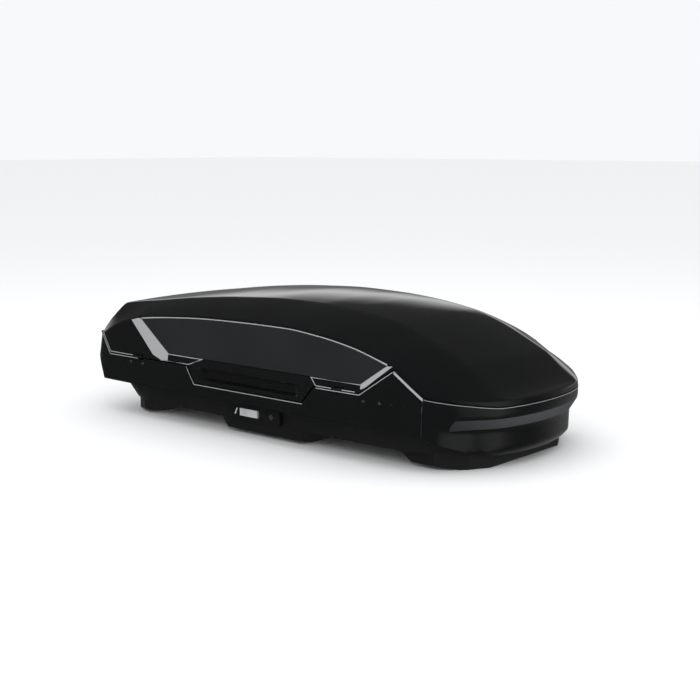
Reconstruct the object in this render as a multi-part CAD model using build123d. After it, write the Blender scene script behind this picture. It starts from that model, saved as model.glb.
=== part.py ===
from build123d import *
import os
from math import atan2, cos, degrees, hypot, radians, sin

os.makedirs("parts", exist_ok=True)

# Roof cargo box. +X is the nose, +Y the car's left, +Z up, all in mm.
# The origin is under the middle of the box, on the plane its keels stand on.

# ---- overall sizes ----
LENGTH = 1775.0
HALF_WIDTH = 428.0          # widest point, low on the side band
ROOF_HEIGHT = 481.0         # top of the crowned lid
LID_WALL = 4.5
BASE_WALL = 4.0
NOSE = LENGTH / 2
TAIL = -LENGTH / 2

# ---- heights of the lines that run around the box ----
SEAM_Z = 223.0              # parting line along the sides
NOTCH_Z = 163.0             # parting line under the hand grip
NOSE_SEAM_Z = 205.0         # parting line across the nose
FIN_Z = 310.0               # tip of the base's side fin
BAND_Z = 120.0              # bottom edge of the side band
FLOOR_Z = 52.0              # underside of the floor over a crossbar
SEAM_GAP = 4.0
TUMBLEHOME = 0.17           # lean of the sides above the belt
BELT_Z = 205.0

# ---- crossbars and their clamps ----
BAR_X = {"rear": -322.0, "front": 424.0}
BAR_WIDTH = 80.0
BAR_HEIGHT = 30.0
RAIL_Y = 215.0
CLAMP_TRAVEL = 30.0         # how far a clamp slides back from where it stands

# ---- hinges and latches, the same on both long sides ----
AXIS_Y = HALF_WIDTH - 11.0
AXIS_Z = SEAM_Z + SEAM_GAP / 2
HINGE_X = {"rear": TAIL + 244.5, "front": NOSE - 542.5}
PIN_R = 3.0
PIN_PLAY = 0.05
BARREL_R = 5.0
LATCH_TRAVEL = 18.0

# ---- side details ----
NOTCH_X = (-324.0, 198.0)   # bottom corners of the grip notch
NOTCH_TOP_X = (-364.0, 248.0)
FIN_X = (NOSE - 449.5, NOSE - 325.5)    # foot and tip of the fin
RIVET_X = (HINGE_X["rear"] - 34.0, HINGE_X["rear"] + 34.0, NOSE - 428.5, NOSE - 364.5)
RIVET_Z = 203.0
LOCK_X = (-186.0, 67.0)
LOCK_Z = (60.0, 110.0)
FIT = 0.15                  # gap around pieces that sit in a pocket
CLEAR = 0.4                 # gap between pieces that pass each other

TRIM_X = NOSE - 205.0       # where the front bumper meets the side band
CROWN_RISE = (ROOF_HEIGHT - SEAM_Z) / 258.0
SPREAD = HALF_WIDTH / 428.0


# ---- the outer shape: lines along the box, then sections through them ----
def along(line, x):
    """Height or width of a smooth line (a list of x, value) at x."""
    if x <= line[0][0]:
        return line[0][1]
    if x >= line[-1][0]:
        return line[-1][1]
    slopes = [(b[1] - a[1]) / (b[0] - a[0]) for a, b in zip(line, line[1:])]
    tangents = [slopes[0]]
    for s0, s1 in zip(slopes, slopes[1:]):
        tangents.append(0.0 if s0 * s1 <= 0 else 2 * s0 * s1 / (s0 + s1))
    tangents.append(slopes[-1])
    for i, (a, b) in enumerate(zip(line, line[1:])):
        if x <= b[0]:
            span = b[0] - a[0]
            t = (x - a[0]) / span
            rise = (3 - 2 * t) * t * t
            start = t * (1 - t) * (1 - t) * span * tangents[i]
            end = -t * t * (1 - t) * span * tangents[i + 1]
            return a[1] + (b[1] - a[1]) * rise + start + end


# inset of the belt from the widest point: rounded tail, straight sides, pointed nose
BELT_IN = [(TAIL, 30), (TAIL + 8, 22), (TAIL + 26, 17), (TAIL + 58, 13), (TAIL + 128, 10),
           (TAIL + 245, 7.5), (TAIL + 590, 4.5), (NOSE - 800, 4), (NOSE - 542, 5.5),
           (NOSE - 400, 9), (NOSE - 325, 13.5), (TRIM_X, 24), (NOSE - 147, 62),
           (NOSE - 87, 127), (NOSE - 35, 205), (NOSE - 12, 290), (NOSE, 368)]
# the long creases that edge the roof
CREASE_Y = [(TAIL, 306), (TAIL + 65, 300), (TAIL + 385, 270), (TAIL + 600, 250),
            (TAIL + 825, 235), (NOSE - 785, 228), (NOSE - 450, 219), (NOSE - 164, 222),
            (NOSE - 35, 206), (NOSE - 12, 122), (NOSE, 46)]
CREASE_Z = [(TAIL, 390), (TAIL + 65, 403), (TAIL + 205, 421), (TAIL + 385, 443),
            (TAIL + 600, 460), (TAIL + 825, 469), (NOSE - 785, 466), (NOSE - 653, 458),
            (NOSE - 555, 447), (NOSE - 452, 430), (NOSE - 378, 409), (NOSE - 301, 379),
            (NOSE - 197, 331), (NOSE - 164, 314), (NOSE - 35, 228), (NOSE - 12, 224),
            (NOSE, 221)]
# the shoulder line over the side windows
SHOULDER_Z = [(TAIL, 282), (TAIL + 87, 325), (TAIL + 185, 360), (TAIL + 237, 373),
              (TAIL + 416, 391), (TAIL + 608, 402), (TAIL + 858, 406), (NOSE - 800, 405.5),
              (NOSE - 643, 394), (NOSE - 494, 371), (NOSE - 397, 346), (NOSE - 336, 327),
              (NOSE - 267, 287), (TRIM_X, 250), (NOSE - 147, 239), (NOSE - 87, 231),
              (NOSE - 35, 225), (NOSE - 12, 221.5), (NOSE, 218)]
CROWN = [(TAIL, 7), (TAIL + 600, 11), (NOSE - 700, 12), (NOSE - 164, 6), (NOSE, 2)]
HOOD_X = NOSE - 164.0       # the crease across the hood
STATIONS = [TAIL + d for d in (0, 8, 26, 58, 128, 237, 416, 608, 858)]
STATIONS += [NOSE - d for d in (785, 643, 542, 450, 397, 336, 267, 205, 164)]
NOSE_STATIONS = [NOSE - d for d in (164, 120, 87, 60, 35, 20, 12, 4, 0)]


def raised(z):
    """A height on the lid, stretched with the roof height."""
    return SEAM_Z + (z - SEAM_Z) * CROWN_RISE


def belt(x):
    return HALF_WIDTH - along(BELT_IN, x) * SPREAD


def inset(points, depth):
    """A closed outline moved inwards, corner by corner; points run anticlockwise."""
    lines = []
    for (ax, ay), (bx, by) in zip(points, points[1:] + points[:1]):
        run = hypot(bx - ax, by - ay)
        nx, ny = -(by - ay) / run, (bx - ax) / run
        lines.append((ax + nx * depth, ay + ny * depth, (bx - ax) / run, (by - ay) / run))
    moved = []
    for (px, py, ux, uy), (qx, qy, vx, vy) in zip(lines[-1:] + lines[:-1], lines):
        cross = ux * vy - uy * vx
        if abs(cross) < 1e-6:
            moved.append((qx, qy))
        else:
            k = ((qx - px) * vy - (qy - py) * vx) / cross
            moved.append((px + ux * k, py + uy * k))
    return moved


def section(x, depth):
    """Cross-section of the closed box at x, moved inwards by depth."""
    reach = x + (depth if x > 0 else -depth)
    crown = along(CROWN, reach) * CROWN_RISE
    crease_y = along(CREASE_Y, reach) * SPREAD
    crease_z = raised(along(CREASE_Z, reach))
    shoulder_z = raised(along(SHOULDER_Z, reach))
    shoulder_y = belt(reach) - TUMBLEHOME * (shoulder_z - BELT_Z)
    bulge = 0.03 * (shoulder_y - crease_y)
    middle = ((crease_y + shoulder_y) / 2, (crease_z + shoulder_z) / 2 + bulge)
    half = [(belt(reach) + 4.0, BAND_Z), (belt(reach), BELT_Z), (shoulder_y, shoulder_z),
            middle, (crease_y, crease_z), (crease_y * 0.55, crease_z + crown * 0.72)]
    outline = half + [(0.0, crease_z + crown)] + [(-y, z) for y, z in reversed(half)]
    return inset(outline, depth) if depth else outline


def skin(depth):
    """The whole closed box, lid and side band together, moved inwards by depth."""
    halves = []
    for stations in (STATIONS, NOSE_STATIONS):
        faces = []
        for x in stations:
            x = min(max(x, TAIL + depth), NOSE - depth)
            if faces and x - faces[-1].center().X < 1.0:
                continue
            corners = [(x, y, z) for y, z in section(x, depth)]
            faces.append(Face(Wire.make_polygon(corners)))
        halves.append(Solid.make_loft([f.outer_wire() for f in faces], True))
    return halves[0] + halves[1]


def across(points, y0=-HALF_WIDTH - 40, y1=HALF_WIDTH + 40):
    """A side outline (x, z) made solid from y0 to y1."""
    face = Face(Wire.make_polygon([(x, y0, z) for x, z in points]))
    return extrude(face, amount=y1 - y0, dir=(0, 1, 0))


def lengthwise(points, x0, x1):
    """A cross outline (y, z) made solid from x0 to x1."""
    face = Face(Wire.make_polygon([(x0, y, z) for y, z in points]))
    return extrude(face, amount=x1 - x0, dir=(1, 0, 0))


def block(x0, x1, y0, y1, z0, z1):
    return Pos((x0 + x1) / 2, (y0 + y1) / 2, (z0 + z1) / 2) * Box(x1 - x0, y1 - y0, z1 - z0)


def rod_x(x0, x1, y, z, r):
    return Pos((x0 + x1) / 2, y, z) * Rot(0, 90, 0) * Cylinder(r, x1 - x0)


def rod_y(x, y0, y1, z, r):
    return Pos(x, (y0 + y1) / 2, z) * Rot(90, 0, 0) * Cylinder(r, y1 - y0)


def flip(piece):
    """The same piece on the other long side."""
    return mirror(piece, Plane.XZ)


def save(name, *solids):
    piece = Compound(children=[s for group in solids for s in Compound([group]).solids()])
    piece.label = name
    export_step(piece, f"parts/{name}.step")


def save_pair(name, *solids):
    """Writes a piece of the right side (-Y) and its twin on the left."""
    save(f"{name}_right", *solids)
    save(f"{name}_left", *[flip(s) for s in solids])


# ---- parting line: an outline in side view, low at the grip, high at the fin ----
SEAM = [(TAIL - 60, 316.0), (TAIL + 20, 286.0), (TAIL + 80, 220.0),
        (NOTCH_TOP_X[0], SEAM_Z), (NOTCH_X[0], NOTCH_Z), (NOTCH_X[1], NOTCH_Z),
        (NOTCH_TOP_X[1], SEAM_Z), (FIN_X[0], SEAM_Z), (FIN_X[1], FIN_Z), (TRIM_X, 237.0),
        (NOSE - 35, NOSE_SEAM_Z), (NOSE + 60, NOSE_SEAM_Z)]
lid_zone = across(inset(SEAM + [(NOSE + 60, 700.0), (TAIL - 60, 700.0)], SEAM_GAP / 2))
base_zone = across(inset([(TAIL - 60, -60.0), (NOSE + 60, -60.0)] + SEAM[::-1], SEAM_GAP / 2))
# the tail slopes in above its waist and tucks under below it
TAIL_PROFILE = [(TAIL, 290.0), (TAIL, 216.0), (TAIL + 46, BAND_Z), (TAIL + 46, -60.0),
                (NOSE + 60, -60.0), (NOSE + 60, 700.0), (TAIL + 178, 700.0)]

outer = skin(0.0) & across(TAIL_PROFILE)
lid_inner = skin(LID_WALL) & across(inset(TAIL_PROFILE, LID_WALL))
base_inner = skin(BASE_WALL) & across(inset(TAIL_PROFILE, BASE_WALL))


# ---- base: side band, nose core behind the bumper, lower body, keels ----
def nose_outline(depth, tuck):
    """Plan outline of the nose; tuck is how far the front stands back under the lip."""
    side = []
    for x in [TRIM_X - 60] + [NOSE - d for d in (175, 147, 120, 87, 60, 35, 20, 8, 0)]:
        ramp = min(max((x - (NOSE - 150)) / 45, 0), 1)
        run = tuck * ramp
        side.append((x - run * 0.8, belt(x) - run * 0.7))
    outline = [(x, -y) for x, y in side] + side[::-1]
    return inset(outline, depth) if depth else outline


# heights of the nose, the inset of its sides and the tuck of its front
NOSE_LEVELS = [(245.0, 7.0, 0.0), (BELT_Z, 0.0, 0.0), (172.0, 0.0, 0.0), (128.0, 0.0, 26.0),
               (60.0, 2.0, 26.0), (40.0, 14.0, 32.0)]


def nose_block(depth):
    wires = []
    for z, side_in, tuck in NOSE_LEVELS:
        outline = nose_outline(side_in + depth, tuck)
        wires.append(Wire.make_polygon([(x, y, z) for x, y in outline]))
    return Solid.make_loft(wires[::-1], True)


def lower_body(depth, z0, z1):
    """The body under the side band: narrower, and cut back at the tail."""
    steps_in = [(TAIL + 50, 128), (TAIL + 85, 78), (TAIL + 150, 50), (TAIL + 260, 40),
                (NOSE - 300, 40), (TRIM_X, 62), (NOSE - 120, 136), (NOSE - 80, 223)]
    half = [(x, HALF_WIDTH - step) for x, step in steps_in]
    top = half + [(x, -y) for x, y in half[::-1]]
    cut_back = [(x + (66 if x < TAIL + 200 else -8), y * 0.97) for x, y in top]
    wires = []
    for outline, z in ((cut_back, z0), (top, z1)):
        moved = inset(outline[::-1], depth) if depth else outline[::-1]
        wires.append(Wire.make_polygon([(x, y, z) for x, y in moved]))
    return Solid.make_loft(wires, True)


def keel(x0, x1, run_in, run_out, half, depth):
    """A hull rib under the floor, from x0 to x1, with sloped ends and chamfered sides."""
    top_z = FLOOR_Z + 6
    side = [(x0 + run_in, 0), (x1 - run_out, 0), (x1, top_z), (x0, top_z)]
    front = [(half - 66, 0), (half - 6, 14), (half, top_z), (-half, top_z),
             (-half + 6, 14), (-half + 66, 0)]
    if depth:
        side = inset(side, depth)
        front = inset(front, depth)
        side = side[:2] + [(x, top_z + 4) for x, z in side[2:]]
        front = front[:2] + [(y, top_z + 4) for y, z in front[2:4]] + front[4:]
    return across(side) & lengthwise(front, TAIL, NOSE)


KEELS = [(TAIL + 110, TAIL + 292, 52, 50, HALF_WIDTH - 56), (-240, 162, 40, 24, HALF_WIDTH - 50),
         (NOSE - 348, NOSE - 62, 74, 30, HALF_WIDTH - 76)]

bumper_zone = across([(TRIM_X, 113), (NOSE - 90, 58), (NOSE - 50, 40), (NOSE + 60, 40),
                      (NOSE + 60, 400), (TRIM_X, 400)])
side_zone = block(TAIL - 60, TRIM_X - CLEAR, -500, 500, BAND_Z - 1, 700)
core_zone = across([(TRIM_X - 10, BAND_Z), (NOSE - 104, FLOOR_Z + 2), (NOSE + 60, FLOOR_Z + 2),
                    (NOSE + 60, 300), (TRIM_X - 10, 300)])
core_room = across([(TRIM_X - 30, BAND_Z + 4), (TRIM_X - 10, BAND_Z + 4), (NOSE - 102, FLOOR_Z + 6),
                    (NOSE, FLOOR_Z + 6), (NOSE, 300), (TRIM_X - 30, 300)])

base = outer & side_zone & base_zone
base += nose_block(BASE_WALL + 1) & core_zone & base_zone
base += lower_body(0, FLOOR_Z, BAND_Z + 6)
hollow = base_inner & block(TAIL, TRIM_X - 9, -500, 500, BAND_Z, 400)
hollow += nose_block(2 * BASE_WALL + 1) & core_room
hollow += lower_body(BASE_WALL, FLOOR_Z + BASE_WALL, BAND_Z + 8)


def keel_plan(x0, x1, half):
    """Plan outline that trims a keel to the rounded tail or the pointed nose."""
    if x1 > NOSE - 100:
        side = [(x0 - 50, half), (TRIM_X, half), (NOSE - 128, half - 86), (NOSE - 78, half - 180)]
    elif x0 < TAIL + 200:
        side = [(x0 + 8, half - 90), (x0 + 42, half - 40), (x0 + 106, half - 8), (x1 + 50, half - 4)]
    else:
        side = [(x0 - 50, half + 10), (x1 + 50, half + 10)]
    return [(x, -y) for x, y in side] + side[::-1]


for x0, x1, run_in, run_out, half in KEELS:
    for depth in (0, BASE_WALL):
        plan = inset(keel_plan(x0, x1, half), depth) if depth else keel_plan(x0, x1, half)
        flat = Face(Wire.make_polygon([(x, y, -5) for x, y in plan]))
        rib = keel(x0, x1, run_in, run_out, half, depth) & extrude(flat, amount=80, dir=(0, 0, 1))
        if depth:
            hollow += rib
        else:
            base += rib
base -= hollow

SLOT_HALF = 22.0
SLOT_REACH = BAR_WIDTH / 2 + 32


def floor_slot(bar_x, y, z0, z1):
    return block(bar_x - SLOT_REACH - CLAMP_TRAVEL, bar_x + SLOT_REACH, y - SLOT_HALF,
                 y + SLOT_HALF, z0, z1)


for bar_x in BAR_X.values():
    for y in (-RAIL_Y, RAIL_Y):
        base -= floor_slot(bar_x, y, FLOOR_Z - 8, FLOOR_Z + 10)
HINGE_HALF = 32.0           # half length of the cut-out at each hinge
for x in HINGE_X.values():
    gap = block(x - HINGE_HALF, x + HINGE_HALF, -460, -385, AXIS_Z - 11, AXIS_Z + 9)
    base -= gap
    base -= flip(gap)


def side_y(x, z, depth=0.0):
    """Distance from the middle to the flat of the side at this place."""
    lean = TUMBLEHOME * max(z - BELT_Z, 0) - 4 * min(max((BELT_Z - z) / 85, 0), 1)
    return belt(x) - lean - depth


rivets = []
for x in RIVET_X:
    wall_y = -side_y(x, RIVET_Z)
    base -= rod_y(x, wall_y - 3, wall_y + 12, RIVET_Z, 2.6)
    base -= flip(rod_y(x, wall_y - 3, wall_y + 12, RIVET_Z, 2.6))
    head = Pos(x, wall_y, RIVET_Z) * Sphere(5.5) & block(x - 6, x + 6, wall_y - 2.2,
                                                        wall_y - 0.3, RIVET_Z - 6, RIVET_Z + 6)
    rivet = head + rod_y(x, wall_y - 0.5, wall_y + BASE_WALL + 3.5, RIVET_Z, 2.4)
    rivets += [rivet, flip(rivet)]
save("base_rivets", *rivets)


# ---- front bumper, its inlay and the bright edge trims ----
bumper = (nose_block(0) - nose_block(BASE_WALL)) & bumper_zone & base_zone
bumper &= block(TRIM_X + CLEAR, NOSE + 60, -500, 500, 0, 400)
INLAY_Z = (132.0, 168.0)
inlay_zone = block(NOSE - 140, NOSE + 60, -500, 500, INLAY_Z[0], INLAY_Z[1])
inlay_room = block(NOSE - 140 - FIT, NOSE + 60, -500, 500, INLAY_Z[0] - FIT, INLAY_Z[1] + FIT)
bumper -= (nose_block(-1) - nose_block(1.6)) & inlay_room
inlay = (nose_block(0) - nose_block(1.6)) & inlay_zone
save("front_bumper", bumper)
save("bumper_inlay", inlay)

TRIM_WIDTH = 6.0
fin_slope = atan2(FIN_Z - 237.0, TRIM_X - FIN_X[1])
strip_z = 237.0 - SEAM_GAP / 2 / cos(fin_slope)
rise = sin(fin_slope)
run = cos(fin_slope)
slope_length = hypot(FIN_Z - 237.0, TRIM_X - FIN_X[1]) - 10
strip = [(TRIM_X - 2, strip_z), (TRIM_X - 2 - run * slope_length, strip_z + rise * slope_length),
         (TRIM_X - 2 - run * slope_length - rise * TRIM_WIDTH,
          strip_z + rise * slope_length - run * TRIM_WIDTH),
         (TRIM_X - 2 - rise * TRIM_WIDTH, strip_z - run * TRIM_WIDTH)]
trim_shell = skin(-1.2) - skin(0.0)
fin_trim = trim_shell & across(strip[::-1], -500, 0)
post = trim_shell & block(TRIM_X - 4, TRIM_X - 0.5, -500, -300, BAND_Z + 1, strip_z - TRIM_WIDTH)
save_pair("edge_trim", fin_trim, post)

# ---- lid shell with pockets for the windows and an opening for the grips ----
GRIP = [NOTCH_TOP_X[0] + 3, NOTCH_X[0] + 2, NOTCH_X[1] - 2, NOTCH_TOP_X[1] - 3]
GRIP_TOP_Z = 251.0
grip_outline = [(GRIP[0], SEAM_Z + 4), (GRIP[1], NOTCH_Z + 2.2), (GRIP[2], NOTCH_Z + 2.2),
                (GRIP[3], SEAM_Z + 4), (GRIP[3] - 18, GRIP_TOP_Z), (GRIP[0] + 70, GRIP_TOP_Z)]
window_outer = [(TAIL + 372, 228), (GRIP[0] - 4, 228), (GRIP[0] + 66, GRIP_TOP_Z + 2),
                (GRIP[3] - 14, GRIP_TOP_Z + 2), (GRIP[3] + 12, 228), (NOSE - 467, 228),
                (NOSE - 429, 244), (NOSE - 331, 321), (NOSE - 397, 340), (NOSE - 494, 364.5),
                (NOSE - 643, 387), (NOSE - 800, 399), (TAIL + 858, 399.5), (TAIL + 608, 395.5),
                (TAIL + 416, 384.5), (TAIL + 237, 367), (TAIL + 188, 355), (TAIL + 330, 241)]
window_inner = [(TAIL + 414, GRIP_TOP_Z + 3), (NOSE - 447, GRIP_TOP_Z + 3), (NOSE - 352, 321),
                (NOSE - 402, 336.5), (NOSE - 496, 360.5), (NOSE - 644, 383), (NOSE - 800, 395),
                (TAIL + 858, 395.5), (TAIL + 608, 391.5), (TAIL + 417, 380.5), (TAIL + 242, 363.5)]
window_outer = [(x, raised(z)) for x, z in window_outer]
window_inner = [(x, raised(z)) for x, z in window_inner]
POCKET = 2.0
pocket_skin = skin(-1.0) - skin(POCKET)
panel_skin = skin(0.0) - skin(POCKET)
lid = (outer - lid_inner) & lid_zone
window_pocket = pocket_skin & across(window_outer, -500, 0)
lid -= window_pocket
lid -= flip(window_pocket)
grip_gap = across(inset(grip_outline, -FIT), -500, -350)
lid -= grip_gap
lid -= flip(grip_gap)
hinge_gaps = [block(x - HINGE_HALF, x + HINGE_HALF, -460, -385, AXIS_Z - 9, AXIS_Z + 9)
              for x in HINGE_X.values()]
for gap in hinge_gaps:
    lid -= gap
    lid -= flip(gap)
save("lid_shell", lid)

window = panel_skin & across(inset(window_inner, FIT), -500, 0)
frame_zone = across(inset(window_outer, FIT), -500, 0) - across(window_inner, -500, 0)
save_pair("window_panel", window)
frame = panel_skin & frame_zone
for gap in hinge_gaps:
    frame -= gap
save_pair("window_frame", frame)

# a stiffening hoop inside the roof at each end
HOOP_X = (-430.0, 300.0)
HOOP_WIDTH = 46.0
hoop_skin = skin(LID_WALL) - skin(LID_WALL + 6.0)
hoops = [hoop_skin & block(x - HOOP_WIDTH / 2, x + HOOP_WIDTH / 2, -500, 500, 275, ROOF_HEIGHT + 40)
         for x in HOOP_X]
save("lid_hoops", *hoops)

# ---- hand grips: a ridge to lift by over a finger pocket ----
GRIP_DEPTH = 24.0
ridge_skin = skin(-4.0) - skin(4.0)
face_skin = skin(0.0) - skin(GRIP_DEPTH)
grip = face_skin & across(grip_outline, -500, 0)
ridge = [(GRIP[0] + 34, 222), (GRIP[3] - 24, 222), (GRIP[3] - 30, 240), (GRIP[0] + 64, 240)]
grip += ridge_skin & across(ridge, -500, 0)
pocket_face = -side_y(0, 200)
POCKET_X = (GRIP[1] + 26, GRIP[2] - 22)
scoop = [(pocket_face - 20, 174), (pocket_face + 4, 174), (pocket_face + 19, 186),
         (pocket_face + 19, 214), (pocket_face + 6, 219), (pocket_face - 20, 219)]
grip -= lengthwise(scoop[::-1], *POCKET_X)
flange = (skin(LID_WALL) - skin(LID_WALL + 3)) & across(
    [(GRIP[0] - 12, SEAM_Z + 9), (GRIP[3] + 12, SEAM_Z + 9), (GRIP[3] + 2, GRIP_TOP_Z + 10),
     (GRIP[0] + 50, GRIP_TOP_Z + 10)], -500, 0)
grip += flange
save_pair("grip", grip)

# ---- lock plates under the side band: slide knob and key cylinder ----
body_y = 40.0 - HALF_WIDTH  # side of the lower body
PLATE_Y = (body_y - 9.0, body_y + 3.5)
plate = block(LOCK_X[0], LOCK_X[1], PLATE_Y[0], PLATE_Y[1], LOCK_Z[0], LOCK_Z[1])
plate_hole = block(LOCK_X[0] - FIT, LOCK_X[1] + FIT, PLATE_Y[0], body_y + 6,
                   LOCK_Z[0] - FIT, LOCK_Z[1] + FIT)
KNOB_X = (-122.0, -38.0)
KNOB_Z = (72.0, 98.0)
plate -= block(KNOB_X[0] - CLEAR, KNOB_X[1] + LATCH_TRAVEL + CLEAR, PLATE_Y[0] - 1,
               PLATE_Y[0] + 7, KNOB_Z[0] - CLEAR, KNOB_Z[1] + CLEAR)
knob = block(KNOB_X[0], KNOB_X[1], PLATE_Y[0] - 2, PLATE_Y[0] + 6.6, KNOB_Z[0], KNOB_Z[1])
for x in (KNOB_X[0] + 14, KNOB_X[0] + 22, KNOB_X[0] + 30):
    knob -= block(x, x + 3, PLATE_Y[0] - 4, PLATE_Y[0] - 0.5, KNOB_Z[0] + 4, KNOB_Z[1] - 4)
KEY_X = 28.0
KEY_Z = 85.0
KEY_R = 9.0
plate -= rod_y(KEY_X, PLATE_Y[0] - 1, PLATE_Y[0] + 10, KEY_Z, KEY_R + PIN_PLAY)
cylinder = rod_y(KEY_X, PLATE_Y[0] - 1.2, PLATE_Y[0] + 9.9, KEY_Z, KEY_R)
cylinder -= block(KEY_X - 0.8, KEY_X + 0.8, PLATE_Y[0] - 3, PLATE_Y[0] + 5, KEY_Z - 4.5, KEY_Z + 4.5)
base -= plate_hole
base -= flip(plate_hole)
save("base_shell", base)
save_pair("lock_plate", plate)
save_pair("slide_knob", knob)
save_pair("lock_cylinder", cylinder)


# ---- hinge links: each side's hooks and pins, which stay on the base or lift with the lid ----
LIFTER_X = {"right": (TAIL + 159.5, NOSE - 247.5), "left": (TAIL + 187.5, NOSE - 275.5)}
LINK_Y = (34.0 - HALF_WIDTH, 38.0 - HALF_WIDTH)
FRONT_Y = (38.6 - HALF_WIDTH, 42.6 - HALF_WIDTH)    # stands in to pass the fin
LINK_Z = (131.0, 141.0)
LATCH_Y = (28.0 - HALF_WIDTH, 32.0 - HALF_WIDTH)
LATCH_Z = (145.0, 157.0)
TOOTH_Z = (178.0, 185.0)
LEDGE_Z = (TOOTH_Z[1] + 2, TOOTH_Z[1] + 6)
STUD_Y = HALF_WIDTH - 40.0
STUD_Z = 150.0
STUD_R = 3.0


def hinge_link(stud_xs):
    """Right-hand link: barrels and hanging plates joined by a bar, with lifter studs."""
    x0, x1 = stud_xs
    step_x = HINGE_X["front"] + 28
    link = block(x0 + 9, step_x, *LINK_Y, *LINK_Z)
    link += block(step_x - 8, step_x, LINK_Y[0], FRONT_Y[1], *LINK_Z)
    link += block(step_x - 8, x1 - 9, *FRONT_Y, *LINK_Z)
    for x in HINGE_X.values():
        barrel = rod_x(x - 10, x + 10, -AXIS_Y, AXIS_Z, BARREL_R)
        barrel += block(x - 10, x + 10, -AXIS_Y, LINK_Y[1], AXIS_Z - 3, AXIS_Z)
        link += barrel - rod_x(x - 11, x + 11, -AXIS_Y, AXIS_Z, PIN_R + PIN_PLAY)
        link += block(x - 28, x + 28, LINK_Y[0], LINK_Y[1], LINK_Z[0], AXIS_Z)
        for z0, z1 in ((LATCH_Z[0] - 4, LATCH_Z[0] - CLEAR), (LATCH_Z[1] + CLEAR, LATCH_Z[1] + 4)):
            link += block(x + 14, x + 26, LATCH_Y[0] - 2, LINK_Y[0], z0, z1)
    link += block(x0 + 9, x0 + 13, LINK_Y[0], -STUD_Y + 6, LINK_Z[0], STUD_Z + 8)
    link += rod_x(x0 + 6.6, x0 + 9, -STUD_Y, STUD_Z, STUD_R)
    link += block(x1 - 13, x1 - 9, FRONT_Y[0], -STUD_Y + 6, LINK_Z[0], STUD_Z + 8)
    link += rod_x(x1 - 9, x1 - 6.6, -STUD_Y, STUD_Z, STUD_R)
    return link


def latch_bar():
    """Bar with one tooth at each hinge; it slides forward to hook the teeth under the ledges."""
    bar = block(HINGE_X["rear"] - 40, HINGE_X["front"] + 30, *LATCH_Y, *LATCH_Z)
    for x in HINGE_X.values():
        back = x - LATCH_TRAVEL
        bar += block(back - 7, back + 7, *LATCH_Y, LATCH_Z[1] - 1, TOOTH_Z[1])
        bar += block(back - 7, back + 7, LATCH_Y[0] - 7.5, LATCH_Y[1], *TOOTH_Z)
    return bar


save("hinge_link_right", hinge_link(LIFTER_X["right"]))
save("hinge_link_left", flip(hinge_link(LIFTER_X["left"])))
save_pair("latch_bar", latch_bar())
save_pair("hinge_pins", *[rod_x(x - 24, x + 24, -AXIS_Y, AXIS_Z, PIN_R) for x in HINGE_X.values()])

# keepers riveted inside the base wall: the ledges that the latch teeth hook under
KEEPER_Z = (175.0, 211.0)
KEEPER_X = {"rear": (HINGE_X["rear"] - 48.0, HINGE_X["rear"] + 46.0),
            "front": (HINGE_X["front"] - 8.5, NOSE - 350.5)}
keepers = []
for end, (x0, x1) in KEEPER_X.items():
    wall_in = min(side_y(x, KEEPER_Z[1], BASE_WALL) for x in (x0, x1)) - 0.4
    keeper = block(x0, x1, -wall_in, -wall_in + 3, *KEEPER_Z)
    keeper += block(HINGE_X[end] - 8, HINGE_X[end] + 8, -wall_in, LATCH_Y[0] - 4.5, *LEDGE_Z)
    for x in RIVET_X:
        if x0 < x < x1:
            keeper -= rod_y(x, -wall_in - 2, -wall_in + 8, RIVET_Z, 2.6)
    keepers.append(keeper)
save_pair("keepers", *keepers)

# lugs on the lid that turn on the hinge pins
lugs = []
lug_skin = skin(LID_WALL) - skin(LID_WALL + 4)
for x in HINGE_X.values():
    lug = lug_skin & block(x - 26, x + 26, -500, -350, AXIS_Z + 10, AXIS_Z + 36)
    for x0, x1 in ((x - 22, x - 12), (x + 12, x + 22)):
        lug += rod_x(x0, x1, -AXIS_Y, AXIS_Z, BARREL_R)
        lug += block(x0, x1, -AXIS_Y, 14 - AXIS_Y, AXIS_Z - 3, AXIS_Z + 8.5)
        lug += block(x0, x1, 10 - AXIS_Y, 14 - AXIS_Y, AXIS_Z + 8, AXIS_Z + 26)
    lug -= rod_x(x - 23, x + 23, -AXIS_Y, AXIS_Z, PIN_R + PIN_PLAY)
    lugs.append(lug)
save_pair("lid_lugs", *lugs)

# ---- lid lifters: gas springs across both ends, from the base to the opening side ----
LIFTER_PIVOT = (HALF_WIDTH - 58.0, 160.0)
TUBE_LENGTH = 430.0
TUBE_R = 8.0
ROD_R = 4.0
reach_y = LIFTER_PIVOT[0] + STUD_Y
reach_z = STUD_Z - LIFTER_PIVOT[1]
lifter_length = hypot(reach_y, reach_z)
lifter_tilt = degrees(atan2(reach_z, -reach_y))


def laid(piece, x):
    """Moves a piece made along +Z at the origin onto the right-hand lifter's line at x."""
    return Pos(x, LIFTER_PIVOT[0], LIFTER_PIVOT[1]) * Rot(lifter_tilt - 90, 0, 0) * piece


def lifter_tube(x):
    tube = Pos(0, 0, TUBE_LENGTH / 2 + 12) * Cylinder(TUBE_R, TUBE_LENGTH - 24)
    tube += Pos(0, 0, 15) * Cylinder(5, 30)
    tube += Rot(0, 90, 0) * Cylinder(8, 12)
    tube -= Rot(0, 90, 0) * Cylinder(STUD_R + PIN_PLAY, 14)
    tube -= Pos(0, 0, TUBE_LENGTH / 2 + 30) * Cylinder(ROD_R + 0.3, TUBE_LENGTH - 60)
    return laid(tube, x)


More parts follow.
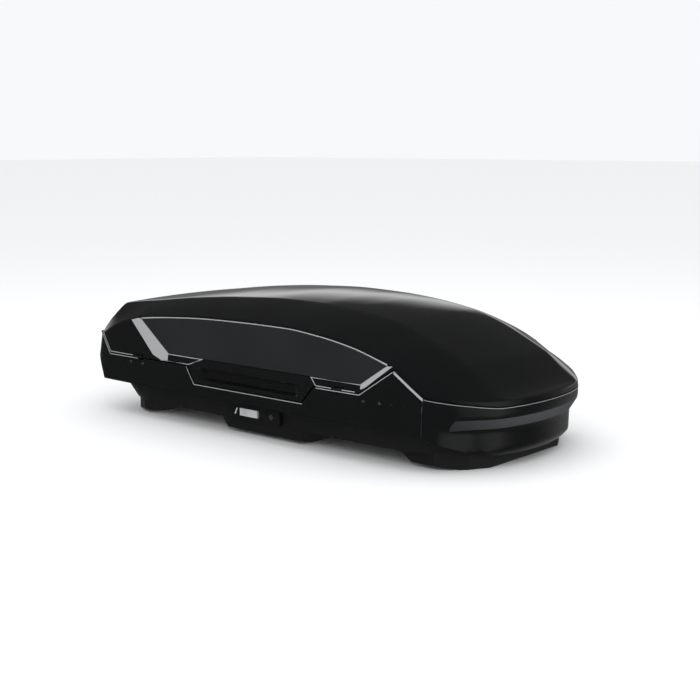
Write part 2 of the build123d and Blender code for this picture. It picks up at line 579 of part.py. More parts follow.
def lifter_rod(x):
    start = 280.0
    rod = Pos(0, 0, (start + lifter_length) / 2) * Cylinder(ROD_R, lifter_length - start)
    rod += Pos(0, 0, lifter_length) * Rot(0, 90, 0) * Cylinder(9, 12)
    rod -= Pos(0, 0, lifter_length) * Rot(0, 90, 0) * Cylinder(STUD_R + 0.3, 14)
    return laid(rod, x)


def lifter_bracket(x):
    """Upright on the ledge beside the floor, with the stud that the tube turns on."""
    y, z = LIFTER_PIVOT
    ledge_z = BAND_Z + BASE_WALL
    bracket = block(x + 9, x + 13, y - 9, y + 13, ledge_z, z + 9)
    bracket += block(x + 9, x + 30, y + 4, y + 19, ledge_z, ledge_z + 4)
    return bracket + rod_x(x - 8, x + 10, y, z, STUD_R)


for side, keep in (("right", lambda piece: piece), ("left", flip)):
    save(f"lifter_tubes_{side}", *[keep(lifter_tube(x)) for x in LIFTER_X[side]])
    save(f"lifter_rods_{side}", *[keep(lifter_rod(x)) for x in LIFTER_X[side]])
brackets = [lifter_bracket(x) for x in LIFTER_X["right"]]
brackets += [flip(lifter_bracket(x)) for x in LIFTER_X["left"]]
save("lifter_brackets", *brackets)

# ---- crossbar clamps on two floor rails ----
FLOOR_TOP = FLOOR_Z + BASE_WALL
RAIL_HALF = 50.0
RAIL_PLATE = 3.0
RAIL_LIP = 9.0
RAIL_X = (-545.0, 535.0)


def floor_rail(y):
    rail = block(*RAIL_X, y - RAIL_HALF, y + RAIL_HALF, FLOOR_TOP, FLOOR_TOP + RAIL_PLATE)
    for edge in (y - RAIL_HALF, y + RAIL_HALF - RAIL_PLATE):
        rail += block(*RAIL_X, edge, edge + RAIL_PLATE, FLOOR_TOP, FLOOR_TOP + RAIL_LIP)
    for bar_x in BAR_X.values():
        rail -= floor_slot(bar_x, y, FLOOR_TOP - 1, FLOOR_TOP + 5)
    return rail


save("floor_rail_right", floor_rail(-RAIL_Y))
save("floor_rail_left", floor_rail(RAIL_Y))

HOUSING_Z = (FLOOR_TOP + RAIL_PLATE + 0.3, 104.0)
HOUSING_HALF = (80.0, 42.0)
JAW_HALF = 14.0
JAW_PIVOT = (BAR_WIDTH / 2 + 10, 84.0)
BAR_TOP_Z = FLOOR_Z - 2
HOOK_Z = (BAR_TOP_Z - BAR_HEIGHT - 10, BAR_TOP_Z - BAR_HEIGHT - 0.5)
KNOB_R = 29.0
SPINDLE_R = 6.0


def clamp_housing(x, y):
    half_x, half_y = HOUSING_HALF
    housing = block(x - half_x, x + half_x, y - half_y, y + half_y, *HOUSING_Z)
    top_edges = housing.edges().group_by(Axis.Z)[-1]
    housing = chamfer(top_edges, 8)
    housing -= block(x - half_x + 7, x + half_x - 7, y - JAW_HALF - 3, y + JAW_HALF + 3,
                     HOUSING_Z[0] - 1, JAW_PIVOT[1] + 10)
    for way in (-1, 1):
        housing += rod_y(x + way * JAW_PIVOT[0], y - JAW_HALF - 6, y + JAW_HALF + 6,
                         JAW_PIVOT[1], PIN_R)
    return housing - Pos(x, y, 100) * Cylinder(SPINDLE_R + PIN_PLAY, 20)


def clamp_knob(x, y):
    """Round knob with finger scallops, on the spindle that closes the jaws."""
    z0 = HOUSING_Z[1] + 0.3
    knob = Pos(x, y, z0 + 11) * Cylinder(KNOB_R, 22)
    knob = chamfer(knob.edges().group_by(Axis.Z)[-1], 2.5)
    for i in range(6):
        turn = radians(60 * i)
        spot = (x + (KNOB_R + 6) * cos(turn), y + (KNOB_R + 6) * sin(turn), z0 + 12)
        knob -= Pos(*spot) * Cylinder(10, 21)
    return knob + Pos(x, y, z0 - 4) * Cylinder(SPINDLE_R, 10)


def clamp_jaw(x, y, way):
    """Hook under the crossbar: way is +1 for the front jaw and -1 for the rear one."""
    px, pz = JAW_PIVOT
    profile = [(px - 6, pz), (px + 6, pz), (px + 6, HOOK_Z[0] + 6), (px, HOOK_Z[0]),
               (px - 20, HOOK_Z[0]), (px - 20, HOOK_Z[1] - 2), (px - 18, HOOK_Z[1]),
               (px - 6, HOOK_Z[1])]
    outline = [(x + way * px_, pz_) for px_, pz_ in profile]
    jaw = across(outline, y - JAW_HALF, y + JAW_HALF)
    jaw += rod_y(x + way * px, y - JAW_HALF, y + JAW_HALF, pz, 8)
    return jaw - rod_y(x + way * px, y - JAW_HALF - 1, y + JAW_HALF + 1, pz, PIN_R + PIN_PLAY)


for end, bar_x in BAR_X.items():
    for side, y in (("right", -RAIL_Y), ("left", RAIL_Y)):
        save(f"clamp_housing_{end}_{side}", clamp_housing(bar_x, y))
        save(f"clamp_knob_{end}_{side}", clamp_knob(bar_x, y))
        save(f"clamp_jaw_fore_{end}_{side}", clamp_jaw(bar_x, y, 1))
        save(f"clamp_jaw_aft_{end}_{side}", clamp_jaw(bar_x, y, -1))

# ---- cargo straps, tight across the rails, with their buckles and anchors ----
STRAP_X = (-130.0, 70.0)
STRAP_WIDTH = 25.0
STRAP_THICK = 1.6
BUCKLE_Y = 60.0
strap_z = FLOOR_TOP + RAIL_LIP + 0.3
ANCHOR = (HALF_WIDTH - 62.0, 92.0)
buckles = []
anchors = []
for x, name in zip(STRAP_X, ("rear", "front")):
    rise_y = ANCHOR[0] - 96
    path = [(-ANCHOR[0], ANCHOR[1]), (-rise_y, strap_z), (rise_y, strap_z), ANCHOR]
    path += [(y, z + STRAP_THICK) for y, z in path[::-1]]
    save(f"strap_{name}", lengthwise(path, x - STRAP_WIDTH / 2, x + STRAP_WIDTH / 2))
    buckle = block(x - 20, x + 20, BUCKLE_Y - 27, BUCKLE_Y + 27, strap_z - 3, strap_z + 7)
    buckle = chamfer(buckle.edges().group_by(Axis.Z)[-1], 2)
    half = STRAP_WIDTH / 2 + 0.5
    buckle -= block(x - half, x + half, BUCKLE_Y - 30, BUCKLE_Y + 30,
                    strap_z - 0.4, strap_z + STRAP_THICK + 0.4)
    buckles.append(buckle)
    for way in (-1, 1):
        y0, y1 = sorted((way * (ANCHOR[0] + 0.4), way * (ANCHOR[0] + 10)))
        anchors.append(block(x - 17, x + 17, y0, y1, 80, 104))
save("strap_buckles", *buckles)
save("strap_anchors", *anchors)
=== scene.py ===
from math import atan2, cos, radians, sin, sqrt

import bmesh
import bpy
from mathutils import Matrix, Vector


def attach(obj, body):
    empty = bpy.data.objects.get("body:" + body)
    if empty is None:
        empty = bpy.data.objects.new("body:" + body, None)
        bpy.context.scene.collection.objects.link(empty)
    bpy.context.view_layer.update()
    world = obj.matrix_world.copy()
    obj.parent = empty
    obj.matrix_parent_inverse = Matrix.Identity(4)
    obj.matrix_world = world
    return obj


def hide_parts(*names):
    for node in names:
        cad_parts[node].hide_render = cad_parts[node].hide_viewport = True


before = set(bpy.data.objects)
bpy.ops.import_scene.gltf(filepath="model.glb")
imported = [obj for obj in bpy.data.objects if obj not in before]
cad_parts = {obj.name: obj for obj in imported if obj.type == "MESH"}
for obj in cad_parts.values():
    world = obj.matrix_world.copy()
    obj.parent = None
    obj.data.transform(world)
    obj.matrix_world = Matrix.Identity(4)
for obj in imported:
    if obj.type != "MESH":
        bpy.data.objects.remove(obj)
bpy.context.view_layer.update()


# ---- Camera, floor and studio ----
# A box on its own on a pale floor, seen from its right front quarter a little above level.
# Broad soft lamps light it. A bright wall stands far behind and the near side of the studio is dark.
def colour(code, alpha=1.0):
    """Linear colour of an sRGB hex value."""
    shares = [int(code[i:i + 2], 16) / 255 for i in (0, 2, 4)]
    return [s / 12.92 if s <= 0.04045 else ((s + 0.055) / 1.055) ** 2.4 for s in shares] + [alpha]


def add(tree, kind, inputs=None, **settings):
    """Adds a node. An input takes a value, or the output that it is linked from."""
    made = tree.nodes.new(kind)
    for name, value in settings.items():
        setattr(made, name, value)
    for name, value in (inputs or {}).items():
        if isinstance(value, bpy.types.NodeSocket):
            tree.links.new(value, made.inputs[name])
        else:
            made.inputs[name].default_value = value
    return made


def material(name, **shares):
    """A new principled material, with uniform values set on its sockets."""
    made = bpy.data.materials.new(name)
    made.use_nodes = True
    shader = made.node_tree.nodes["Principled BSDF"]
    for key, value in shares.items():
        shader.inputs[key.replace("_", " ").title().replace("Ior", "IOR")].default_value = value
    return made, made.node_tree, shader


def piece(name, data, body=None, finish=None):
    """An object around this mesh, riding on a body."""
    made = bpy.data.objects.new(name, data)
    bpy.context.scene.collection.objects.link(made)
    if finish:
        data.materials.append(finish)
    if body:
        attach(made, body)
    return made


azimuth = radians(40.82)
elevation = radians(9.29)
back = Vector((sin(azimuth) * cos(elevation), -cos(azimuth) * cos(elevation), sin(elevation)))
CAMERA_AT = (2.998, -3.424, 1.010)
FOCAL_MM = 65.3
lens = bpy.data.cameras.new("camera")
lens.sensor_width = 36.0
lens.lens = FOCAL_MM
camera = bpy.data.objects.new("camera", lens)
camera.location = CAMERA_AT
camera.rotation_euler = back.to_track_quat("Z", "Y").to_euler()
bpy.context.scene.collection.objects.link(camera)
bpy.context.scene.camera = camera

bpy.context.scene.view_settings.view_transform = "Standard"

FLOOR_HALF = 60.0
corners = [(-1, -1), (1, -1), (1, 1), (-1, 1)]
floor_mesh = bpy.data.meshes.new("studio_floor")
floor_mesh.from_pydata([(x * FLOOR_HALF, y * FLOOR_HALF, 0.0) for x, y in corners], [], [(0, 1, 2, 3)])
PALE = colour("f8f9fa")
paper, tree, shader = material("painted_floor", roughness=0.9)
shader.inputs["Base Color"].default_value = PALE
studio_floor = piece("studio_floor", floor_mesh, finish=paper)
studio_floor.visible_glossy = False

# The bright wall's direction, its spread, and the heights where it fades in at its foot and out at its top.
WALL_WAY = (-0.55, 0.83, 0.0)
WALL_SPREAD = (0.15, 0.75)
WALL_FOOT = (0.02, 0.17)
WALL_TOP = (0.35, 0.12)
FOOT_SHARE = 0.12
GLOW_SPREAD = (0.80, 0.99)
GLOW_SHARE = 0.3
ROOM_DARK = 0.055
ROOM_BRIGHT = 0.85
world = bpy.data.worlds.new("studio")
world.use_nodes = True
bpy.context.scene.world = world
tree = world.node_tree
tree.nodes.clear()
facing = add(tree, "ShaderNodeTexCoord")
split = add(tree, "ShaderNodeSeparateXYZ", {0: facing.outputs["Generated"]})
away = add(tree, "ShaderNodeVectorMath", {0: facing.outputs["Generated"], 1: WALL_WAY},
           operation="DOT_PRODUCT")
behind = add(tree, "ShaderNodeMapRange", {"Value": away.outputs["Value"], "From Min": WALL_SPREAD[0],
                                          "From Max": WALL_SPREAD[1]},
             interpolation_type="SMOOTHSTEP")
below = add(tree, "ShaderNodeMapRange", {"Value": split.outputs["Z"], "From Min": WALL_TOP[0],
                                         "From Max": WALL_TOP[1]},
            interpolation_type="SMOOTHSTEP")
above = add(tree, "ShaderNodeMapRange", {"Value": split.outputs["Z"], "From Min": WALL_FOOT[0],
                                         "From Max": WALL_FOOT[1], "To Min": FOOT_SHARE},
            interpolation_type="SMOOTHSTEP")
lit = add(tree, "ShaderNodeMath", {0: below.outputs["Result"], 1: above.outputs["Result"]},
          operation="MULTIPLY")
wall = add(tree, "ShaderNodeMath", {0: behind.outputs["Result"], 1: lit.outputs["Value"]},
           operation="MULTIPLY")
ahead = add(tree, "ShaderNodeMapRange", {"Value": split.outputs["X"], "From Min": GLOW_SPREAD[0],
                                         "From Max": GLOW_SPREAD[1]},
            interpolation_type="SMOOTHSTEP")
glow = add(tree, "ShaderNodeMath", {0: ahead.outputs["Result"], 1: GLOW_SHARE}, operation="MULTIPLY")
both = add(tree, "ShaderNodeMath", {0: wall.outputs["Value"], 1: glow.outputs["Value"]}, operation="MAXIMUM")
shade = add(tree, "ShaderNodeMapRange", {"Value": both.outputs["Value"], "To Min": ROOM_DARK,
                                         "To Max": ROOM_BRIGHT})
room = add(tree, "ShaderNodeBackground", {"Color": (1, 1, 1, 1), "Strength": shade.outputs["Result"]})
seen = add(tree, "ShaderNodeBackground", {"Color": PALE, "Strength": 1.0})
sky = add(tree, "ShaderNodeBackground", {"Color": colour("ffffff"), "Strength": 1.0})
path = add(tree, "ShaderNodeLightPath")
plain = add(tree, "ShaderNodeMixShader", {0: path.outputs["Is Camera Ray"], 1: sky.outputs[0],
                                          2: seen.outputs[0]})
mixed = add(tree, "ShaderNodeMixShader", {0: path.outputs["Is Glossy Ray"], 1: plain.outputs[0],
                                          2: room.outputs[0]})
add(tree, "ShaderNodeOutputWorld", {"Surface": mixed.outputs[0]})


def soft_lamp(name, place, aim, size, power):
    """A broad lamp that lights the box but isn't mirrored in its gloss."""
    lamp = bpy.data.lights.new(name, "AREA")
    lamp.shape = "RECTANGLE"
    lamp.size, lamp.size_y = size
    lamp.energy = power
    made = bpy.data.objects.new(name, lamp)
    made.location = place
    made.rotation_euler = (Vector(place) - Vector(aim)).to_track_quat("Z", "Y").to_euler()
    made.visible_glossy = False
    bpy.context.scene.collection.objects.link(made)


soft_lamp("overhead", (0.0, 0.0, 4.5), (0, 0, 0), (6.0, 6.0), 60)
soft_lamp("key", (3.0, -4.0, 3.0), (0, 0, 0.2), (3.0, 2.0), 30)


# ---- Body lines ----
# The box is vacuum formed from black sheet over one mould, so every panel follows the same few lines:
# a belt low on the side, a shoulder over the side panel, a crease along the roof and a crown.
MM = 0.001
NOSE = 887.5
TAIL = -887.5
HALF_WIDTH = 428.0
BELT_Z = 205.0
BAND_Z = 120.0
TUMBLEHOME = 0.17
SEAM_GAP = 4.0
TUCK_UNDER = 4
WAIST_Z = (216, 290)
TIP_LENGTH = 12.0
TRIM_X = NOSE - 205.0
HOOD_X = NOSE - 164.0
BELT_IN = [(TAIL, 30), (TAIL + 8, 22), (TAIL + 26, 17), (TAIL + 58, 13), (TAIL + 128, 10),
           (TAIL + 245, 7.5), (TAIL + 590, 4.5), (NOSE - 800, 4), (NOSE - 542, 5.5),
           (NOSE - 400, 9), (NOSE - 325, 13.5), (TRIM_X, 24), (NOSE - 147, 62),
           (NOSE - 87, 127), (NOSE - 35, 205), (NOSE - 12, 290), (NOSE, 368)]
CREASE_Y = [(TAIL, 306), (TAIL + 65, 300), (TAIL + 385, 270), (TAIL + 600, 250),
            (TAIL + 825, 235), (NOSE - 785, 228), (NOSE - 450, 219), (HOOD_X, 222),
            (NOSE - 35, 206), (NOSE - 12, 122), (NOSE, 46)]
CREASE_Z = [(TAIL, 390), (TAIL + 65, 403), (TAIL + 205, 421), (TAIL + 385, 443),
            (TAIL + 600, 460), (TAIL + 825, 469), (NOSE - 785, 466), (NOSE - 653, 458),
            (NOSE - 555, 447), (NOSE - 452, 430), (NOSE - 378, 409), (NOSE - 301, 379),
            (NOSE - 197, 331), (HOOD_X, 314), (NOSE - 35, 228), (NOSE - 12, 224), (NOSE, 221)]
SHOULDER_Z = [(TAIL, 282), (TAIL + 87, 325), (TAIL + 185, 360), (TAIL + 237, 373),
              (TAIL + 416, 391), (TAIL + 608, 402), (TAIL + 858, 406), (NOSE - 800, 405.5),
              (NOSE - 643, 394), (NOSE - 494, 371), (NOSE - 397, 346), (NOSE - 336, 327),
              (NOSE - 267, 287), (TRIM_X, 250), (NOSE - 147, 239), (NOSE - 87, 231),
              (NOSE - 35, 225), (NOSE - 12, 221.5), (NOSE, 218)]
CROWN = [(TAIL, 7), (TAIL + 600, 11), (NOSE - 700, 12), (HOOD_X, 6), (NOSE, 2)]


def along(line, x):
    """Height or inset of a smooth line at x."""
    if x <= line[0][0]:
        return line[0][1]
    if x >= line[-1][0]:
        return line[-1][1]
    slopes = [(b[1] - a[1]) / (b[0] - a[0]) for a, b in zip(line, line[1:])]
    tangents = [slopes[0]]
    for s0, s1 in zip(slopes, slopes[1:]):
        tangents.append(0.0 if s0 * s1 <= 0 else 2 * s0 * s1 / (s0 + s1))
    tangents.append(slopes[-1])
    for i, (a, b) in enumerate(zip(line, line[1:])):
        if x <= b[0]:
            span = b[0] - a[0]
            t = (x - a[0]) / span
            start = t * (1 - t) * (1 - t) * span * tangents[i]
            end = -t * t * (1 - t) * span * tangents[i + 1]
            return a[1] + (b[1] - a[1]) * (3 - 2 * t) * t * t + start + end


def creased(line, x):
    """A roof line with a sharp bend at the hood crease."""
    split_at = [i for i, (px, _) in enumerate(line) if px == HOOD_X][0]
    return along(line[:split_at + 1], x) if x <= HOOD_X else along(line[split_at:], x)


TIP_X = NOSE - TIP_LENGTH


def closing(x):
    """How far the front has rounded off: 1 behind the tip, 0 at its very front."""
    return sqrt(max(NOSE - x, 0) / TIP_LENGTH) if x > TIP_X else 1.0


def belt(x):
    return (HALF_WIDTH - along(BELT_IN, min(x, TIP_X))) * closing(x)


def side_y(x, z):
    """Distance of the side's outer face from the middle."""
    lean = TUMBLEHOME * max(z - BELT_Z, 0)
    lean -= TUCK_UNDER * min(max((BELT_Z - z) / (BELT_Z - BAND_Z), 0), 1)
    return belt(x) - lean * closing(x)


def tail_x(z):
    """The tail slopes in above its waist and tucks under below it."""
    if z > WAIST_Z[1]:
        return TAIL + (z - WAIST_Z[1]) * 178 / 410
    return TAIL + max(WAIST_Z[0] - z, 0) * 46 / 96


def level(line, x):
    """Height of a straight-sided line at x."""
    for (x0, z0), (x1, z1) in zip(line, line[1:]):
        if x <= x1:
            return z0 + (z1 - z0) * (x - x0) / (x1 - x0)
    return line[-1][1]


def shifted(line, up):
    """A straight-sided line moved square to itself."""
    moved = [(line[0][0], line[0][1] + up)]
    for a, b, c in zip(line, line[1:], line[2:]):
        first = atan2(b[1] - a[1], b[0] - a[0])
        second = atan2(c[1] - b[1], c[0] - b[0])
        middle = (first + second) / 2
        reach = up / cos((second - first) / 2)
        moved.append((b[0] - reach * sin(middle), b[1] + reach * cos(middle)))
    return moved + [(line[-1][0], line[-1][1] + up)]


def grid_mesh(name, rows, closed=False):
    """A skin of squares over rows of points in mm."""
    mesh = bmesh.new()
    made = [[mesh.verts.new(Vector(p) * MM) for p in row] for row in rows]
    count = len(rows[0])
    for lower, upper in zip(made, made[1:]):
        for i in range(count if closed else count - 1):
            j = (i + 1) % count
            mesh.faces.new((lower[i], lower[j], upper[j], upper[i]))
    bmesh.ops.remove_doubles(mesh, verts=mesh.verts, dist=2e-5)
    bmesh.ops.dissolve_degenerate(mesh, edges=mesh.edges, dist=1e-6)
    bmesh.ops.recalc_face_normals(mesh, faces=mesh.faces)
    middle = Vector((0.0, 0.0, 0.24))
    outward = sum((face.calc_center_median() - middle).dot(face.normal) * face.calc_area()
                  for face in mesh.faces)
    if outward < 0:
        bmesh.ops.reverse_faces(mesh, faces=mesh.faces)
    for face in mesh.faces:
        face.smooth = True
    data = bpy.data.meshes.new(name)
    mesh.to_mesh(data)
    mesh.free()
    return data


def thicken(made, wall, edge=0.0, outward=0.0, sharp=30):
    """Gives a skin its wall, on the inside, and rounds its edges, in mm."""
    solid = made.modifiers.new("wall", "SOLIDIFY")
    solid.thickness = (wall + outward) * MM
    solid.offset = -1.0 + 2.0 * outward / (wall + outward)
    if edge:
        round_off = made.modifiers.new("edges", "BEVEL")
        round_off.width = edge * MM
        round_off.segments = 3
        round_off.limit_method = "ANGLE"
        round_off.angle_limit = radians(sharp)
        round_off.harden_normals = True
    made.modifiers.new("shading", "WEIGHTED_NORMAL").keep_sharp = True


JOIN = TAIL + 200.0
TAIL_STEPS = 20
ACROSS_STEPS = 12


def wrap(count, spot, stations, tail=True):
    """Rows of points round the box: nose, right side, tail, left side. spot(k, x) is a left side point."""
    rows = []
    for k in range(count):
        if tail:
            end = TAIL
            for _ in range(14):
                end = tail_x(spot(k, end)[2])
            xs = [end + (JOIN - end) * j / TAIL_STEPS for j in range(TAIL_STEPS)]
            xs += [x for x in stations if x >= JOIN]
        else:
            xs = stations
        left = [spot(k, x) for x in xs]
        right = [(x, -y, z) for x, y, z in left]
        back_end = [(left[0][0], left[0][1] * (2 * j / ACROSS_STEPS - 1), left[0][2])
                    for j in range(1, ACROSS_STEPS)] if tail else []
        rows.append(right[::-1] + back_end + left if tail else left + right[::-1])
    return rows


def stations(x0, x1, corners, step=12.0):
    """Places along the box from x0 to x1, with one at each corner."""
    places = sorted({x0, x1, *[c for c in corners if x0 < c < x1]})
    found = []
    for a, b in zip(places, places[1:]):
        parts = max(1, round((b - a) / step))
        found += [a + (b - a) * i / parts for i in range(parts)]
    return found + [x1]


# ---- Materials of the shells ----
# Co-extruded sheet: black ABS under a clear acrylic cap that gives the wet gloss. Under the cap the
# sheet keeps a faint ripple from forming, a few centimetres across, and a little dust dulls it in patches.
gloss_black, tree, shader = material("acrylic_capped_abs", roughness=0.10, ior=1.49, coat_weight=0.6,
                                     coat_roughness=0.04, coat_ior=1.5)
RIPPLE_PER_M = 1 / 0.045
place = add(tree, "ShaderNodeTexCoord")
ripple = add(tree, "ShaderNodeTexNoise", {"Vector": place.outputs["Object"], "Scale": RIPPLE_PER_M,
                                          "Detail": 1.0})
dust = add(tree, "ShaderNodeTexNoise", {"Vector": place.outputs["Object"], "Scale": 3.0, "Detail": 6.0})
dulling = add(tree, "ShaderNodeMapRange", {"Value": dust.outputs["Fac"], "From Min": 0.35, "From Max": 0.7,
                                           "To Min": 0.07, "To Max": 0.14})
tint = add(tree, "ShaderNodeMix", {0: dust.outputs["Fac"], 6: colour("08090a"), 7: colour("101112")},
           data_type="RGBA")
bump = add(tree, "ShaderNodeBump", {"Height": ripple.outputs["Fac"], "Strength": 0.04, "Distance": 0.004})
tree.links.new(tint.outputs[2], shader.inputs["Base Color"])
tree.links.new(dulling.outputs["Result"], shader.inputs["Roughness"])
tree.links.new(bump.outputs["Normal"], shader.inputs["Normal"])

# ---- Lid ----
# One vacuum-formed sheet, 4.5 mm thick, trimmed along the parting line. It is cut away over each grip
# and at each hinge, and has a pocket 2 mm deep for the side panel.
SEAM = [(TAIL - 60, 316.0), (TAIL + 20, 286.0), (TAIL + 80, 220.0), (-364, 223.0), (-324, 163.0),
        (198, 163.0), (248, 223.0), (438, 223.0), (562, 310.0), (TRIM_X, 237.0),
        (NOSE - 35, 205.0), (NOSE + 60, 205.0)]
SEAM_OVER = shifted(SEAM[:4] + SEAM[6:], SEAM_GAP / 2)
SEAM_UNDER = shifted(SEAM, -SEAM_GAP / 2)
GRIP_TOP = [(-361, 225), (-291, 251.2), (227, 251.2), (245, 225)]
HINGE_X = (-643.0, 345.0)
HINGE_HALF = 32.0
LID_GAP_Z = 234.0
BAND_GAP_Z = 214.0
PANEL_LOW = [(TAIL + 188, 355), (TAIL + 330, 241), (TAIL + 372, 228), (-365, 228), (-295, 253),
             (231, 253), (257, 228), (NOSE - 467, 228), (NOSE - 429, 244), (NOSE - 331, 321)]
PANEL_HIGH = [(TAIL + 188, 355), (TAIL + 237, 367), (TAIL + 416, 384.5), (TAIL + 608, 395.5),
              (TAIL + 858, 399.5), (NOSE - 800, 399), (NOSE - 643, 387), (NOSE - 494, 364.5),
              (NOSE - 397, 340), (NOSE - 331, 321)]
POCKET = 2.0
gap_ends = [x + way * HINGE_HALF + nudge for x in HINGE_X for way in (-1, 1) for nudge in (-0.1, 0.1)]
lid_corners = [x for x, _ in SEAM_OVER + GRIP_TOP + PANEL_LOW] + gap_ends + [HOOD_X]


def at_hinge(x):
    return any(abs(x - hinge) < HINGE_HALF for hinge in HINGE_X)


def lid_low(x):
    """Lower edge of the lid on the side."""
    edge = level(SEAM_OVER, x)
    if GRIP_TOP[0][0] < x < GRIP_TOP[-1][0]:
        edge = max(edge, level(GRIP_TOP, x))
    return max(edge, LID_GAP_Z) if at_hinge(x) else edge


def shoulder(x):
    z = along(SHOULDER_Z, x)
    return max(belt(x) - TUMBLEHOME * (z - BELT_Z) * closing(x), 0.0), z


def turn(a, b, c, reach, steps):
    """Points round the corner at b, from reach before it to reach after it."""
    (ay, az), (by, bz), (cy, cz) = a, b, c
    before = max(sqrt((ay - by) ** 2 + (az - bz) ** 2), 0.01)
    after = max(sqrt((cy - by) ** 2 + (cz - bz) ** 2), 0.01)
    p = min(reach[0] / before, 0.45)
    q = min(reach[1] / after, 0.45)
    start = (by + (ay - by) * p, bz + (az - bz) * p)
    end = (by + (cy - by) * q, bz + (cz - bz) * q)
    found = []
    for i in range(steps + 1):
        t = i / steps
        found.append(tuple((1 - t) ** 2 * s + 2 * t * (1 - t) * m + t * t * e
                           for s, m, e in zip(start, b, end)))
    return found


ROOF_BULGE = 0.03
SHOULDER_TURN = (4, 12)
CREASE_TURN = (14, 14)


def roof_points(x):
    """Half section of the lid over the side panel, from the shoulder to the middle."""
    crown = creased(CROWN, x)
    side = shoulder(x)
    crease = (max(creased(CREASE_Y, min(x, TIP_X)) * closing(x), 0.01), creased(CREASE_Z, x))
    bulge = ROOF_BULGE * (side[0] - crease[0])
    middle = ((crease[0] + side[0]) / 2, (crease[1] + side[1]) / 2 + bulge)
    under = (side[0] + TUMBLEHOME * 30, side[1] - 30)
    found = turn(under, side, middle, SHOULDER_TURN, 4)
    found += [(found[-1][0] + (crease[0] - found[-1][0]) * t, found[-1][1] + (crease[1] - found[-1][1]) * t
               + 4 * bulge * t * (1 - t)) for t in (0.2, 0.4, 0.6, 0.78)]
    over = (crease[0] * 0.8, crease[1] + crown * 0.36)
    found += turn(found[-1], crease, over, CREASE_TURN, 4)
    last = found[-1][0]
    found += [(last * (1 - t), crease[1] + crown * (1 - (last * (1 - t) / crease[0]) ** 2))
              for t in (0.17, 0.33, 0.5, 0.67, 0.83, 1.0)]
    return found


PANEL_ROWS = 8
STEP = 0.4


def lid_spot(k, x):
    """Row k of the lid: the side, the pocket of the side panel, then the roof."""
    roof = roof_points(x)
    low = lid_low(x)
    top_y, top_z = roof[0]
    if PANEL_LOW[0][0] < x < PANEL_LOW[-1][0]:
        pocket_low = max(level(PANEL_LOW, x), low + 1.0)
        pocket_high = max(min(along(PANEL_HIGH, x), top_z - 0.6), pocket_low + 3 * STEP)
        sunk = POCKET
    else:
        pocket_low = low + (top_z - low) * 0.86
        pocket_high = pocket_low + 3 * STEP
        sunk = 0.0
    if k > PANEL_ROWS + 3:
        y, z = roof[k - PANEL_ROWS - 4]
        return x, y, z
    if k == 0:
        z = low
    elif k == 1:
        z = pocket_low
    elif k == PANEL_ROWS + 3:
        z = pocket_high
    else:
        z = pocket_low + STEP + (pocket_high - pocket_low - 2 * STEP) * (k - 2) / PANEL_ROWS
    depth = sunk if 2 <= k <= PANEL_ROWS + 2 else 0.0
    return x, side_y(x, z) - depth, z


ROOF_COUNT = len(roof_points(0.0))
TIP_PLACES = [NOSE - d for d in (12, 9.6, 7.4, 5.4, 3.7, 2.3, 1.2, 0.4)]
lid_places = stations(TAIL, NOSE, lid_corners + TIP_PLACES + [NOSE - 35, NOSE - 60], 11.0)
lid_rows = wrap(PANEL_ROWS + 4 + ROOF_COUNT, lid_spot, lid_places)
lid = piece("lid_skin", grid_mesh("lid_skin", lid_rows, closed=True), "lid", gloss_black)
thicken(lid, 4.5, 0.8)
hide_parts("lid_shell")

# ---- Side panels ----
# A satin moulded panel glued in the lid's pocket on each long side, with a gloss black strip below it
# and a silver line over it. A wide silver band closes it at the back, a narrower one at the front.
satin_black, tree, shader = material("satin_moulded_abs", roughness=0.36, ior=1.52, specular_ior_level=0.55)
GRAIN_PER_M = 1 / 0.0035    # cells of 3.5 mm, coarser than the real grain so that they show
place = add(tree, "ShaderNodeTexCoord")
grain = add(tree, "ShaderNodeTexVoronoi", {"Vector": place.outputs["Object"], "Scale": GRAIN_PER_M})
cloud = add(tree, "ShaderNodeTexNoise", {"Vector": place.outputs["Object"], "Scale": 4.0, "Detail": 4.0})
tint = add(tree, "ShaderNodeMix", {0: cloud.outputs["Fac"], 6: colour("1b1d1f"), 7: colour("26282b")},
           data_type="RGBA")
bump = add(tree, "ShaderNodeBump", {"Height": grain.outputs["Distance"], "Strength": 0.08,
                                    "Distance": 0.0004})
tree.links.new(tint.outputs[2], shader.inputs["Base Color"])
tree.links.new(bump.outputs["Normal"], shader.inputs["Normal"])

silver, tree, shader = material("satin_silver_film", roughness=0.34, metallic=0.3)
place = add(tree, "ShaderNodeTexCoord")
fine = add(tree, "ShaderNodeTexNoise", {"Vector": place.outputs["Object"], "Scale": 260.0, "Detail": 2.0})
tint = add(tree, "ShaderNodeMix", {0: fine.outputs["Fac"], 6: colour("b2b4b6"), 7: colour("c4c6c8")},
           data_type="RGBA")
tree.links.new(tint.outputs[2], shader.inputs["Base Color"])

INNER_LOW = [(TAIL + 242, 363.5), (TAIL + 414, 254), (NOSE - 447, 254), (NOSE - 352, 321)]
INNER_HIGH = [(TAIL + 242, 363.5), (TAIL + 417, 380.5), (TAIL + 608, 391.5), (TAIL + 858, 395.5),
              (NOSE - 800, 395), (NOSE - 644, 383), (NOSE - 496, 360.5), (NOSE - 402, 336.5),
              (NOSE - 352, 321)]
SIDES = (("right", -1), ("left", 1))
PANEL_WALL = 1.8
EDGE = 0.3


